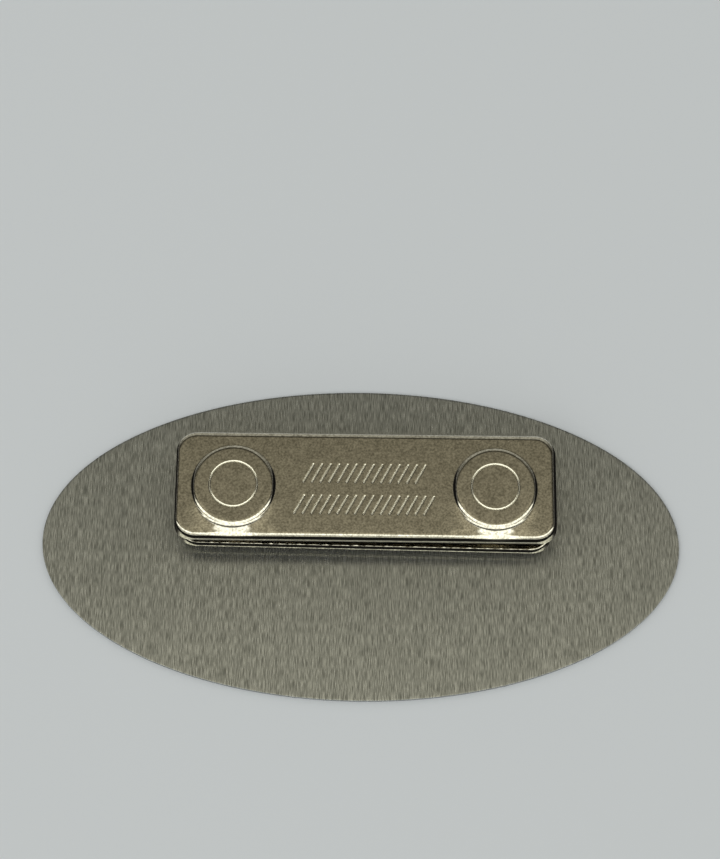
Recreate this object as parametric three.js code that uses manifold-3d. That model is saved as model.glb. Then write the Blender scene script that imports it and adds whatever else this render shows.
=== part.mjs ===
// Oval metal name badge, lying face down, with its two-part magnetic fastener on its back.
// Millimetres. +X runs along the oval, +Y away from the viewer, and +Z up, off the table.
// The origin is on the table, under the middle of the oval plate.

import * as THREE from "three";
import { mergeVertices } from "three/addons/utils/BufferGeometryUtils.js";
import Module from "manifold-3d";

const wasm = await Module();
wasm.setup();

// The oval plate
const plateLength = 76.2;
const plateWidth = 38.5;
const plateThickness = 0.5;

// The middle of the fastener, measured from the middle of the plate
const fastenerX = 0.45;
const fastenerY = 5.5;

// Clearances between neighbours
const glueGap = 0.1; // foam pad to the metal above and below it
const restGap = 0.1; // magnets to the inner bar that they rest on
const seatGap = 0.1; // magnets to the cups that hold them

// The foam pad that glues the inner bar to the plate
const padThickness = 1.16;
const padInset = 0.8; // the pad's edge, in from the inner bar's edge

// The inner bar, which stays on the badge: a blanked strip of plated steel
const innerLength = 44.5;
const innerWidth = 12.7;
const innerThickness = 1.34;
const innerCornerRadius = 2.6;
const innerEdgeRadius = 0.2;
const innerTurn = -0.63; // degrees, as it was stuck down by hand
const innerShiftY = -0.27; // from the middle of the fastener

// The magnet bar's cover: a shallow pressed tray, open below
const coverLength = 44.8;
const coverWidth = 12.9;
const coverHeight = 1.78; // from the rim to the flat top
const coverCornerRadius = 2.5;
const coverEdgeRadius = 0.55;
const sheetThickness = 0.45;
const tightestRound = 0.05; // inside corners and edges are never sharper than this
const magnetReach = 1.37; // how far the magnets stand out below the rim

// The two round cups that are pressed up in the cover, each with a magnet inside
const cupDiameter = 10.1; // where the rounded edge meets the foot
const cupRise = 0.62;
const cupEdgeRadius = 0.62;
const cupEdgeSweep = 75; // degrees of rounded edge, from the flat top down to the foot
const cupFootFlare = 0.35; // how far the foot spreads out on the cover
const cupToEnd = 6.95; // from the middle of a cup to the nearer end of the cover
const pressingShiftX = -0.11; // the cups and engraving, from the middle of the cover
const pressingShiftY = -0.4;
const magnetChamfer = 0.2;

// The fine engraving: a ring on each cup, and two rows of leaning grip lines between the cups
const engravingWidth = 0.22;
const engravingDepth = 0.08;
const ringDiameter = 5.6;
const rowToCup = 1.65; // from the ends of the long row to the cups
const shortRowInset = 1.35; // the short row's ends, in from the long row's
const rowPitch = 3.9;
const rowsShiftY = -0.28; // the two rows together, from the line through the cups
const lineHeight = 2.4;
const linePitch = 1.02;
const lineLean = 28; // degrees

// How finely curves are divided
const ovalSegments = 96;
const cornerSegments = 8;
const edgeSegments = 4;
const roundSegments = 44;
const lineEndSegments = 4;

// Heights above the table, worked out from the stack
const plateTop = plateThickness;
const padBottom = plateTop + glueGap;
const innerBottom = padBottom + padThickness + glueGap;
const innerTop = innerBottom + innerThickness;
const magnetBottom = innerTop + restGap;
const coverRim = magnetBottom + magnetReach;
const coverTop = coverRim + coverHeight;
const cupTop = coverTop + cupRise;
const magnetTop = cupTop - sheetThickness - seatGap;
const magnetDiameter = cupDiameter - 2 * (sheetThickness + seatGap);
const cupSpacing = coverLength - 2 * cupToEnd;

const brushedSteel = new THREE.MeshStandardMaterial({
  color: 0x9a978a,
  roughness: 0.42,
  metalness: 1,
});
const nickelPlate = new THREE.MeshStandardMaterial({
  color: 0xb3a989,
  roughness: 0.22,
  metalness: 1,
});
const magnetPlating = new THREE.MeshStandardMaterial({
  color: 0xb8b8b4,
  roughness: 0.2,
  metalness: 1,
});
const blackFoam = new THREE.MeshStandardMaterial({
  color: 0x1c1c1b,
  roughness: 0.95,
  metalness: 0,
});

// A closed three.js geometry as a solid that can be joined and cut
function solidOf(geometry) {
  const bare = geometry.clone();
  bare.deleteAttribute("normal");
  bare.deleteAttribute("uv");
  const merged = mergeVertices(bare, 1e-5);
  const mesh = new wasm.Mesh({
    numProp: 3,
    vertProperties: new Float32Array(merged.attributes.position.array),
    triVerts: new Uint32Array(merged.index.array),
  });
  return new wasm.Manifold(mesh);
}

// A joined and cut solid as a three.js geometry with flat facets
function geometryOf(solid) {
  const mesh = solid.getMesh();
  const geometry = new THREE.BufferGeometry();
  geometry.setAttribute("position", new THREE.BufferAttribute(mesh.vertProperties, 3));
  geometry.setIndex(new THREE.BufferAttribute(mesh.triVerts, 1));
  const faceted = geometry.toNonIndexed();
  faceted.computeVertexNormals();
  return faceted;
}

// A rectangle with round corners, about the origin
function roundedRectangle(length, width, cornerRadius) {
  const x = length / 2 - cornerRadius;
  const y = width / 2 - cornerRadius;
  const shape = new THREE.Shape();
  shape.absarc(x, y, cornerRadius, 0, Math.PI / 2);
  shape.absarc(-x, y, cornerRadius, Math.PI / 2, Math.PI);
  shape.absarc(-x, -y, cornerRadius, Math.PI, 1.5 * Math.PI);
  shape.absarc(x, -y, cornerRadius, 1.5 * Math.PI, 2 * Math.PI);
  shape.closePath();
  return shape;
}

// A flat bar with round corners, its upper and lower edges rounded too where edgeRadius isn't 0
function bar({ length, width, cornerRadius, edgeRadius = 0, bottom, top }) {
  const geometry = new THREE.ExtrudeGeometry(roundedRectangle(length, width, cornerRadius), {
    depth: top - bottom - 2 * edgeRadius,
    curveSegments: cornerSegments,
    bevelEnabled: edgeRadius > 0,
    bevelThickness: edgeRadius,
    bevelSize: edgeRadius,
    bevelOffset: -edgeRadius,
    bevelSegments: edgeSegments,
  });
  geometry.translate(0, 0, bottom + edgeRadius);
  return geometry;
}

// A round piece about +Z, from a profile of [radius, height] pairs that starts and ends on the axis
// or closes on itself
function turned(profile) {
  const points = profile.map(([radius, height]) => new THREE.Vector2(radius, height));
  const geometry = new THREE.LatheGeometry(points, roundSegments);
  geometry.rotateX(Math.PI / 2);
  return geometry;
}

// The points of a rounded edge in a profile, from its foot up to the flat top that it rounds
function roundedEdge(outerRadius, top, edgeRadius, sweep) {
  const centreRadius = outerRadius - edgeRadius * Math.sin(THREE.MathUtils.degToRad(sweep));
  const points = [];
  for (let step = edgeSegments; step >= 0; step -= 1) {
    const tilt = THREE.MathUtils.degToRad((sweep * step) / edgeSegments);
    points.push([
      centreRadius + edgeRadius * Math.sin(tilt),
      top - edgeRadius * (1 - Math.cos(tilt)),
    ]);
  }
  return points;
}

// The centre of each cup, from the middle of the cover
const cupCentres = [-1, 1].map((side) => [
  pressingShiftX + (side * cupSpacing) / 2,
  pressingShiftY,
]);

// The outside of a cup: a low disc with a well rounded edge and a foot that flares on to the cover
function cupOutside() {
  const rooted = coverTop - sheetThickness / 2;
  const edge = Math.min(cupEdgeRadius, cupRise);
  return solidOf(turned([
    [0, rooted],
    [cupDiameter / 2 + cupFootFlare, rooted],
    [cupDiameter / 2 + cupFootFlare, coverTop],
    ...roundedEdge(cupDiameter / 2, cupTop, edge, cupEdgeSweep),
    [0, cupTop],
  ]));
}

// The hollow in a cup, which takes the magnet
function cupHollow() {
  const wall = cupDiameter / 2 - sheetThickness;
  return solidOf(turned([
    [0, coverRim],
    [wall, coverRim],
    [wall, cupTop - sheetThickness],
    [0, cupTop - sheetThickness],
  ]));
}

// The ring engraved on a cup, a shallow V in section
function ringGroove() {
  const middle = ringDiameter / 2;
  const clear = cupTop + engravingDepth;
  return solidOf(turned([
    [middle - engravingWidth, clear],
    [middle, cupTop - engravingDepth],
    [middle + engravingWidth, clear],
    [middle - engravingWidth, clear],
  ]));
}

// One leaning grip line, a slot with round ends
function gripLine(x, y) {
  const lean = THREE.MathUtils.degToRad(lineLean);
  const reach = (lineHeight - engravingWidth) / 2 / Math.cos(lean);
  const slot = new THREE.Shape();
  slot.absarc(0, reach, engravingWidth / 2, 0, Math.PI);
  slot.absarc(0, -reach, engravingWidth / 2, Math.PI, 2 * Math.PI);
  slot.closePath();
  const geometry = new THREE.ExtrudeGeometry(slot, {
    depth: 2 * engravingDepth,
    curveSegments: lineEndSegments,
    bevelEnabled: false,
  });
  geometry.rotateZ(-lean);
  geometry.translate(x, y, coverTop - engravingDepth);
  return solidOf(geometry);
}

// Both rows of grip lines: the far row is the short one
function gripLines() {
  const lines = [];
  const lean = THREE.MathUtils.degToRad(lineLean);
  const slant = lineHeight * Math.tan(lean) + engravingWidth;
  const longRow = cupSpacing - cupDiameter - 2 * rowToCup;
  for (const [side, rowLength] of [[1, longRow - 2 * shortRowInset], [-1, longRow]]) {
    const count = Math.max(Math.floor((rowLength - slant) / linePitch) + 1, 1);
    for (let index = 0; index < count; index += 1) {
      const x = pressingShiftX + (index - (count - 1) / 2) * linePitch;
      const y = pressingShiftY + rowsShiftY + (side * rowPitch) / 2;
      lines.push(gripLine(x, y));
    }
  }
  return lines;
}

// The plate: one flat ellipse of sheet
function makePlate() {
  const oval = new THREE.Shape();
  oval.absellipse(0, 0, plateLength / 2, plateWidth / 2, 0, 2 * Math.PI);
  return new THREE.ExtrudeGeometry(oval, {
    depth: plateThickness,
    curveSegments: ovalSegments,
    bevelEnabled: false,
  });
}

// The foam pad follows the inner bar's outline, a little inside it
function makePad() {
  return bar({
    length: innerLength - 2 * padInset,
    width: innerWidth - 2 * padInset,
    cornerRadius: Math.max(innerCornerRadius - padInset, tightestRound),
    bottom: padBottom,
    top: padBottom + padThickness,
  });
}

// The inner bar
function makeInnerBar() {
  return bar({
    length: innerLength,
    width: innerWidth,
    cornerRadius: innerCornerRadius,
    edgeRadius: innerEdgeRadius,
    bottom: innerBottom,
    top: innerTop,
  });
}

// A magnet: a disc with chamfered edges
function makeMagnet() {
  const radius = magnetDiameter / 2;
  return turned([
    [0, magnetBottom],
    [radius - magnetChamfer, magnetBottom],
    [radius, magnetBottom + magnetChamfer],
    [radius, magnetTop - magnetChamfer],
    [radius - magnetChamfer, magnetTop],
    [0, magnetTop],
  ]);
}

// The cover: a rounded block cut off at the rim, hollowed to one sheet's thickness, with the cups
// pressed up in it and the engraving cut in
function makeCover() {
  const underRim = 2 * coverEdgeRadius;
  const insideEdge = Math.max(coverEdgeRadius - sheetThickness, tightestRound);
  const insideCorner = Math.max(coverCornerRadius - sheetThickness, insideEdge + tightestRound);
  let cover = solidOf(bar({
    length: coverLength,
    width: coverWidth,
    cornerRadius: coverCornerRadius,
    edgeRadius: coverEdgeRadius,
    bottom: coverRim - underRim,
    top: coverTop,
  }));
  const hollow = solidOf(bar({
    length: coverLength - 2 * sheetThickness,
    width: coverWidth - 2 * sheetThickness,
    cornerRadius: insideCorner,
    edgeRadius: insideEdge,
    bottom: coverRim - underRim,
    top: coverTop - sheetThickness,
  }));
  const belowRim = new THREE.BoxGeometry(2 * coverLength, 2 * coverWidth, 2 * underRim);
  belowRim.translate(0, 0, coverRim - underRim);
  for (const [x, y] of cupCentres) {
    cover = cover.add(cupOutside().translate([x, y, 0]));
  }
  cover = cover.subtract(hollow).subtract(solidOf(belowRim));
  for (const [x, y] of cupCentres) {
    cover = cover.subtract(cupHollow().translate([x, y, 0]));
    cover = cover.subtract(ringGroove().translate([x, y, 0]));
  }
  for (const line of gripLines()) {
    cover = cover.subtract(line);
  }
  return geometryOf(cover);
}

// A named mesh in its group
function addPiece(group, name, geometry, material) {
  const mesh = new THREE.Mesh(geometry, material);
  mesh.name = name;
  group.add(mesh);
  return mesh;
}

const badge = new THREE.Group();
addPiece(badge, "badge_plate", makePlate(), brushedSteel);

const fastener = new THREE.Group();
fastener.position.set(fastenerX, fastenerY, 0);
badge.add(fastener);

const gluedOn = new THREE.Group();
gluedOn.position.y = innerShiftY;
gluedOn.rotation.z = THREE.MathUtils.degToRad(innerTurn);
fastener.add(gluedOn);
addPiece(gluedOn, "adhesive_pad", makePad(), blackFoam);
addPiece(gluedOn, "inner_bar", makeInnerBar(), nickelPlate);

const magnetBar = new THREE.Group();
fastener.add(magnetBar);
addPiece(magnetBar, "magnet_cover", makeCover(), nickelPlate);
cupCentres.forEach(([x, y], index) => {
  const name = index === 0 ? "magnet_left" : "magnet_right";
  addPiece(magnetBar, name, makeMagnet(), magnetPlating).position.set(x, y, 0);
});

export default badge;
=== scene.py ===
"""Looks of an oval brushed-metal name badge that lies face down, with its magnetic fastener.

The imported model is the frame: every piece here stands for one of its nodes and keeps that node's
place and size. The pieces' sizes are in millimetres, in the frame's own axes, and become metres
when a mesh is made. The finishes' sizes are in metres. +X runs along the oval, +Y away from the
viewer and +Z up.
"""

import logging
import math
from dataclasses import dataclass, field
from enum import Enum

import bmesh
import bpy
import numpy as np
from mathutils import Matrix, Vector


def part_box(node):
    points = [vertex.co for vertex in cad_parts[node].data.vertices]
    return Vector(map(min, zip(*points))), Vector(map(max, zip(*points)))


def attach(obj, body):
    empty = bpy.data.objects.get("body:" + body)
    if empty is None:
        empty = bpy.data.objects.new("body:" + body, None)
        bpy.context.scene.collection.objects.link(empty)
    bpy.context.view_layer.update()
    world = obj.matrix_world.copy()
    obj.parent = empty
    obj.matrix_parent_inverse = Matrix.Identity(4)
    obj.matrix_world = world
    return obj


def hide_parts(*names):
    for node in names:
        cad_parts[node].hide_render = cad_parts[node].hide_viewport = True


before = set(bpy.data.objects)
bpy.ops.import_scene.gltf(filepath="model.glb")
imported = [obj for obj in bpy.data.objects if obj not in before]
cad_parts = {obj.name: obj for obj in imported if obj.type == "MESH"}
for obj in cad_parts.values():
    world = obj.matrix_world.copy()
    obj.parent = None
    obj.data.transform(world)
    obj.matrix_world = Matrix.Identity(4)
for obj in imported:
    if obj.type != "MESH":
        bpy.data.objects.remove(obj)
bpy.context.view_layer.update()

MM = 0.001
WELD_DISTANCE = 0.0004 * MM
LOG = logging.getLogger("name_badge")

Mesh = bpy.types.Mesh
Material = bpy.types.Material
Socket = bpy.types.NodeSocket
Colour = tuple[float, float, float]
# Arcs end to end: each one's radius, the tilt in degrees that it ends at, and its steps
Arcs = tuple[tuple[float, float, int], ...]

# Where a wall has its rows, as shares of its height from the top
WALL_SHARES = (0.4, 0.9, 1.0)


class Facing(Enum):
    """Which side of a grid of points is the outside."""

    OUTWARD = 1
    INWARD = -1


class Body(Enum):
    """The two bodies of the frame: what stays on the badge, and what lifts off it."""

    BADGE = "badge"
    MAGNET_BAR = "magnet_bar"


class Slot(Enum):
    """The record's material slots."""

    PLATE = "brushed_plate"
    NICKEL = "nickel_plate"
    MAGNET = "magnet_plating"
    FOAM = "foam_pad"


@dataclass(frozen=True)
class NodeBox:
    """The box of a node of the frame, in millimetres."""

    low: np.ndarray
    high: np.ndarray

    @classmethod
    def of(cls, node: str) -> "NodeBox":
        """Measure a node of the frame at rest, by its name."""
        low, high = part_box(node)
        return cls(np.array(low) / MM, np.array(high) / MM)

    @property
    def centre(self) -> np.ndarray:
        """The middle of the box."""
        return (self.low + self.high) / 2

    @property
    def size(self) -> np.ndarray:
        """The box's length along each axis."""
        return self.high - self.low


class Skin:
    """A closed surface that is gathered from grids of points, then welded into one mesh."""

    def __init__(self) -> None:
        """Start with no points and no faces."""
        self.points: list[np.ndarray] = []
        self.faces: list[list[int]] = []
        self.count = 0

    def add_grid(self, grid: np.ndarray, facing: Facing, closed: bool = False) -> None:
        """Add a grid as quads, where a face runs from row j to j + 1 and from column k to k + 1.

        Args:
            grid: Points as an array of rows by columns by 3.
            facing: OUTWARD where rows then columns turn right-handed about the outward normal.
            closed: True where the last column joins the first.
        """
        rows, columns = grid.shape[:2]
        index = self.count + np.arange(rows * columns).reshape(rows, columns)
        if closed:
            index = np.hstack([index, index[:, :1]])
        corners = [index[:-1, :-1], index[1:, :-1], index[1:, 1:], index[:-1, 1:]]
        self._keep(grid, np.stack(corners[:: facing.value], axis=-1).reshape(-1, 4))

    def add_pole(self, pole: np.ndarray, ring: np.ndarray, facing: Facing) -> None:
        """Close a ring of points with triangles that meet at one point.

        Args:
            pole: The point in the middle.
            ring: The closed ring round it.
            facing: OUTWARD where the ring is anticlockwise from outside, INWARD where clockwise.
        """
        around = np.arange(len(ring))
        corners = [np.full(len(ring), len(ring)), around, np.roll(around, -1)]
        triangles = self.count + np.stack(corners[:: facing.value], axis=-1)
        self._keep(np.vstack([ring, pole]), triangles)

    def _keep(self, points: np.ndarray, faces: np.ndarray) -> None:
        """Store points and the faces that use them."""
        self.points.append(points.reshape(-1, 3))
        self.faces.extend(faces.tolist())
        self.count += self.points[-1].shape[0]

    def make_object(self, name: str) -> bpy.types.Object:
        """Weld the grids into one mesh and link it to the scene.

        Args:
            name: The piece's name.

        Returns:
            The new object, at the origin.
        """
        mesh = bpy.data.meshes.new(name)
        mesh.from_pydata((np.vstack(self.points) * MM).tolist(), [], self.faces)
        build = bmesh.new()
        build.from_mesh(mesh)
        bmesh.ops.remove_doubles(build, verts=build.verts, dist=WELD_DISTANCE)
        open_edges = sum(1 for edge in build.edges if len(edge.link_faces) != 2)
        build.to_mesh(mesh)
        build.free()
        mesh.polygons.foreach_set("use_smooth", [True] * len(mesh.polygons))
        piece = bpy.data.objects.new(name, mesh)
        bpy.context.scene.collection.objects.link(piece)
        triangles = sum(len(polygon.vertices) - 2 for polygon in mesh.polygons)
        LOG.info("%s: %d triangles, %d open edges", name, triangles, open_edges)
        return piece


def lifted(plan: np.ndarray, height: np.ndarray | float) -> np.ndarray:
    """Plan points with their heights added as a third coordinate."""
    return np.concatenate([plan, np.broadcast_to(height, plan.shape[:-1])[..., None]], axis=-1)


@dataclass(frozen=True)
class Outline:
    """A closed outline with a middle line and a normal at each of its points.

    The point at distance r from the middle line is core + r * normal, so one outline gives every
    parallel one: the flat's edge, the wall and the inside of the wall.
    """

    core: np.ndarray
    normal: np.ndarray

    def at(self, distance: float | np.ndarray) -> np.ndarray:
        """The parallel outline at a distance from the core."""
        return self.core + np.asarray(distance)[..., None] * self.normal

    def row(self, distance: float | np.ndarray, height: float | np.ndarray) -> np.ndarray:
        """The parallel outline at a distance from the core, put at a height."""
        return lifted(self.at(distance), height)

    @property
    def travel(self) -> np.ndarray:
        """The length run along the core and round its corners, taken at 1 mm from it."""
        steps = np.linalg.norm(np.diff(self.at(1.0), axis=0), axis=1)
        return np.concatenate([[0.0], np.cumsum(steps)])

    @property
    def cornering(self) -> np.ndarray:
        """0 where a point lies on a straight side, and 1 in the middle of a corner."""
        return (2 * self.normal[:, 0] * self.normal[:, 1]) ** 2


def joined(runs: list[Outline]) -> Outline:
    """One outline from several, end to end."""
    return Outline(np.vstack([run.core for run in runs]), np.vstack([run.normal for run in runs]))


def rounded_run(points: list[tuple[float, float]], shares: list[np.ndarray], segments: int,
                closed: bool = False) -> Outline:
    """Straight sides along the axes, anticlockwise, with a round corner between two of them.

    In a corner the core stays and the normal turns by 90 degrees.

    Args:
        points: The core's corners, from the first side's start to the last side's end.
        shares: Each side's places, from 0 at its start to 1 at its end.
        segments: How many steps a corner takes.
        closed: True where a corner follows the last side too.

    Returns:
        The whole run.
    """
    runs = []
    for start, end, places in zip(points[:-1], points[1:], shares):
        way = np.subtract(end, start)
        normal = np.sign([way[1], -way[0]])
        core = np.array(start) + places[:, None] * way
        runs.append(Outline(core, np.tile(normal, (len(places), 1))))
        first = math.degrees(math.atan2(normal[1], normal[0]))
        angles = np.radians(first + 90.0 * np.arange(1, segments) / segments)
        turned = np.stack([np.cos(angles), np.sin(angles)], axis=-1)
        runs.append(Outline(np.tile(np.array(end, float), (len(angles), 1)), turned))
    return joined(runs if closed else runs[:-1])


def turned_profile(centre: np.ndarray, profile: np.ndarray, segments: int) -> np.ndarray:
    """A profile of radius and height turned about a vertical axis.

    Args:
        centre: The axis in plan.
        profile: Rows of radius and height.
        segments: Steps round the circle.

    Returns:
        A grid with a row for each profile point and a column for each step.
    """
    angles = np.linspace(0.0, 2 * math.pi, segments, endpoint=False)
    around = np.stack([np.cos(angles), np.sin(angles)], axis=-1)
    return lifted(centre[:2] + profile[:, None, :1] * around, profile[:, None, 1])


def round_edge(radius: float, start: float, end: float, steps: int) -> np.ndarray:
    """A rounded edge in section, as rows of (distance out, distance down) from where it begins.

    At a tilt t the edge stands radius * sin t further out and radius * (1 - cos t) lower.

    Args:
        radius: The edge's radius.
        start: The first tilt, in degrees.
        end: The last tilt, in degrees.
        steps: How many steps between them.

    Returns:
        The section's points.
    """
    tilt = np.radians(np.linspace(start, end, steps + 1))
    return np.stack([radius * np.sin(tilt), radius * (1 - np.cos(tilt))], axis=-1)


def arcs(parts: Arcs) -> np.ndarray:
    """A rounded edge made of arcs end to end, in section, as round_edge gives it.

    Args:
        parts: The arcs, the first one from a tilt of 0.

    Returns:
        The section's points.
    """
    points = np.zeros((1, 2))
    start = 0.0
    for radius, end, steps in parts:
        turn = round_edge(radius, start, end, steps)
        points = np.vstack([points, points[-1] + turn[1:] - turn[0]])
        start = end
    return points


@dataclass(frozen=True)
class Wave:
    """A smooth irregular wave along an edge: a mean of sines of unlike wavelengths, times a size."""

    size: float
    lengths: tuple[float, ...]
    phase: float

    def at(self, place: np.ndarray, shift: float = 0.0) -> np.ndarray:
        """The wave's value.

        Args:
            place: Where it is read.
            shift: What is added to the phase, to make another wave of the same kind.

        Returns:
            A value for each place, between about minus the size and the size.
        """
        phase = self.phase + shift
        waves = [
            np.sin(2 * math.pi * place / length + phase * (1.7 + order) + 2.1 * order)
            for order, length in enumerate(self.lengths)
        ]
        return self.size * (sum(waves) / len(waves))


@dataclass(frozen=True)
class Marks:
    """Tool marks along an edge: narrow bells at a pitch that drifts with a wave."""

    size: float
    pitch: float
    width: float
    drift: Wave

    def at(self, run: np.ndarray) -> np.ndarray:
        """The marks' value at places along the edge."""
        phase = (run / self.pitch + self.drift.at(run)) % 1.0
        return self.size * np.exp(-(((phase - 0.5) * self.pitch / self.width) ** 2))


def gathered(low: float, high: float, spans: list[tuple[float, float]], fine: float,
             coarse: float) -> np.ndarray:
    """Places from low to high, close together inside the spans and further apart elsewhere.

    Args:
        low: The first place.
        high: The last place.
        spans: Stretches that need the fine step, in order and apart.
        fine: The step inside the spans.
        coarse: The step between them.

    Returns:
        The places, with both ends.
    """
    edges = [low, *[edge for span in spans for edge in span], high]
    runs = []
    for order, (start, end) in enumerate(zip(edges[:-1], edges[1:])):
        step = fine if order % 2 else coarse
        count = max(int(round((end - start) / step)), 1)
        runs.append(np.linspace(start, end, count, endpoint=False))
    return np.concatenate([*runs, [high]])


class Sketch:
    """A short way to write a node tree."""

    def __init__(self, tree: bpy.types.NodeTree) -> None:
        """Wrap a tree."""
        self.tree = tree

    def feed(self, node: bpy.types.Node, inputs: dict) -> None:
        """Give a node's inputs their values or the output sockets that drive them.

        Args:
            node: The node.
            inputs: A value or a socket for each input, by name or number.
        """
        for key, value in inputs.items():
            if isinstance(value, Socket):
                self.tree.links.new(value, node.inputs[key])
            else:
                node.inputs[key].default_value = value

    def node(self, kind: str, inputs: dict | None = None, **settings: object) -> bpy.types.Node:
        """Add a node.

        Args:
            kind: The node's type in Blender.
            inputs: What its inputs take, as in feed.
            settings: The node's own properties.

        Returns:
            The new node.
        """
        made = self.tree.nodes.new(kind)
        for name, value in settings.items():
            setattr(made, name, value)
        self.feed(made, inputs or {})
        return made

    def math(self, operation: str, *terms: object) -> Socket:
        """A Math node's output."""
        return self.node("ShaderNodeMath", dict(enumerate(terms)), operation=operation).outputs[0]

    def mapped(self, value: object, source: tuple[float, float],
               target: tuple[float, float] = (0.0, 1.0), way: str = "SMOOTHSTEP") -> Socket:
        """A value taken from one range to another, smoothly or LINEAR, and held at its ends."""
        terms = {0: value, 1: source[0], 2: source[1], 3: target[0], 4: target[1]}
        return self.node("ShaderNodeMapRange", terms, interpolation_type=way).outputs[0]

    def mixed(self, share: object, first: object, second: object,
              blend: str = "MIX") -> Socket:
        """Two colours mixed by a share.

        Args:
            share: How much of the second colour is taken.
            first: A socket or a colour.
            second: A socket or a colour.
            blend: Blender's name for the way of mixing.

        Returns:
            The colour socket.
        """
        pair = [(*one, 1.0) if isinstance(one, tuple) else one for one in (first, second)]
        made = self.node("ShaderNodeMix", {0: share, 6: pair[0], 7: pair[1]}, data_type="RGBA",
                         blend_type=blend)
        return made.outputs[2]

    def noise(self, vector: object, scale: float, detail: float = 2.0,
              roughness: float = 0.5) -> Socket:
        """A noise texture's value."""
        terms = {"Vector": vector, "Scale": scale, "Detail": detail, "Roughness": roughness}
        return self.node("ShaderNodeTexNoise", terms).outputs[0]

    def sized(self, vector: object, size: object) -> Socket:
        """A place divided by a size, so that noise of scale 1 has features of that size."""
        scale = self.math("DIVIDE", 1.0, size)
        return self.node("ShaderNodeVectorMath", {0: vector, 3: scale}, operation="SCALE").outputs[0]

    def contrasted(self, first: object, second: object, weight: float,
                   contrast: object) -> Socket:
        """Two values added by weight, then drawn away from 0.5.

        Args:
            first: A value about 0.5.
            second: Another, which takes the rest of the weight.
            weight: The first value's share.
            contrast: What the distance from 0.5 is multiplied by.

        Returns:
            The value's socket.
        """
        both = self.math("ADD", self.math("MULTIPLY", first, weight),
                         self.math("MULTIPLY", second, 1 - weight))
        away = self.math("MULTIPLY", self.math("SUBTRACT", both, 0.5), contrast)
        return self.math("ADD", away, 0.5)

    def ramp(self, value: object, stops: list[tuple[float, Colour]]) -> Socket:
        """A colour ramp's output.

        Args:
            value: The socket that drives it.
            stops: Places from 0 to 1 and their colours.

        Returns:
            The colour socket.
        """
        made = self.node("ShaderNodeValToRGB", {0: value})
        elements = made.color_ramp.elements
        while len(elements) < len(stops):
            elements.new(0.5)
        for element, (place, colour) in zip(elements, stops):
            element.position = place
            element.color = (*colour, 1.0)
        return made.outputs[0]


class Group(Sketch):
    """A new shader group that reads a place in the material."""

    def __init__(self, name: str, inputs: dict[str, float], outputs: tuple[str, ...]) -> None:
        """Make the group's sockets.

        Args:
            name: The group's name.
            inputs: The numbers that it takes beside the place, with their first values.
            outputs: The names of the numbers that it gives.
        """
        super().__init__(bpy.data.node_groups.new(name, "ShaderNodeTree"))
        sockets = self.tree.interface
        sockets.new_socket("Vector", in_out="INPUT", socket_type="NodeSocketVector")
        for label, value in inputs.items():
            socket = sockets.new_socket(label, in_out="INPUT", socket_type="NodeSocketFloat")
            socket.default_value = value
        for label in outputs:
            sockets.new_socket(label, in_out="OUTPUT", socket_type="NodeSocketFloat")
        self.given = self.node("NodeGroupInput").outputs


def grain_group() -> bpy.types.NodeTree:
    """Fine mottled grain: two sizes of noise, as a value about 0.5 and as a height."""
    group = Group("fine_grain", {"Size": 0.0002, "Contrast": 1.0}, ("Value", "Height"))
    large_scale = 0.23
    small_weight = 0.75
    spread = group.sized(group.given["Vector"], group.given["Size"])
    small = group.noise(spread, 1.0, detail=3.0, roughness=0.62)
    large = group.noise(spread, large_scale)
    value = group.contrasted(small, large, small_weight, group.given["Contrast"])
    group.node("NodeGroupOutput", {"Value": value, "Height": small})
    return group.tree


def brushing_group() -> bpy.types.NodeTree:
    """Brush lines along Y: noise drawn out along them, in two widths, about 0.5."""
    group = Group("brushing", {"Width": 0.0001, "Length": 0.0015, "Contrast": 1.0},
                  ("Value", "Height"))
    broad_width, broad_length, broad_shift = 4.5, 6.0, 7.3
    fine_weight = 0.85
    apart = group.node("ShaderNodeSeparateXYZ", {0: group.given["Vector"]}).outputs

    def lines(width_times: float, length_times: float, shift: float) -> Socket:
        """Noise drawn out along Y, with its size times the group's width and length."""
        across = group.math("DIVIDE", apart[0],
                            group.math("MULTIPLY", group.given["Width"], width_times))
        along = group.math("DIVIDE", apart[1],
                           group.math("MULTIPLY", group.given["Length"], length_times))
        place = group.node("ShaderNodeCombineXYZ", {0: across, 1: along, 2: shift})
        return group.noise(place.outputs[0], 1.0, roughness=0.6)

    fine = lines(1.0, 1.0, 0.0)
    broad = lines(broad_width, broad_length, broad_shift)
    value = group.contrasted(fine, broad, fine_weight, group.given["Contrast"])
    height = group.contrasted(fine, broad, fine_weight, 1.0)
    group.node("NodeGroupOutput", {"Value": value, "Height": height})
    return group.tree


def handling_group() -> bpy.types.NodeTree:
    """Broad cloudy patches left by handling, from 0 where clean to 1 where dull."""
    group = Group("handling", {"Size": 0.006}, ("Mask",))
    clean, dull = 0.38, 0.68
    spread = group.sized(group.given["Vector"], group.given["Size"])
    cloud = group.noise(spread, 1.0, detail=4.0, roughness=0.6)
    group.node("NodeGroupOutput", {"Mask": group.mapped(cloud, (clean, dull))})
    return group.tree


class Effects:
    """The shader groups that several finishes share, each built once."""

    def __init__(self) -> None:
        """Build the groups."""
        self.grain = grain_group()
        self.brushing = brushing_group()
        self.handling = handling_group()


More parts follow.
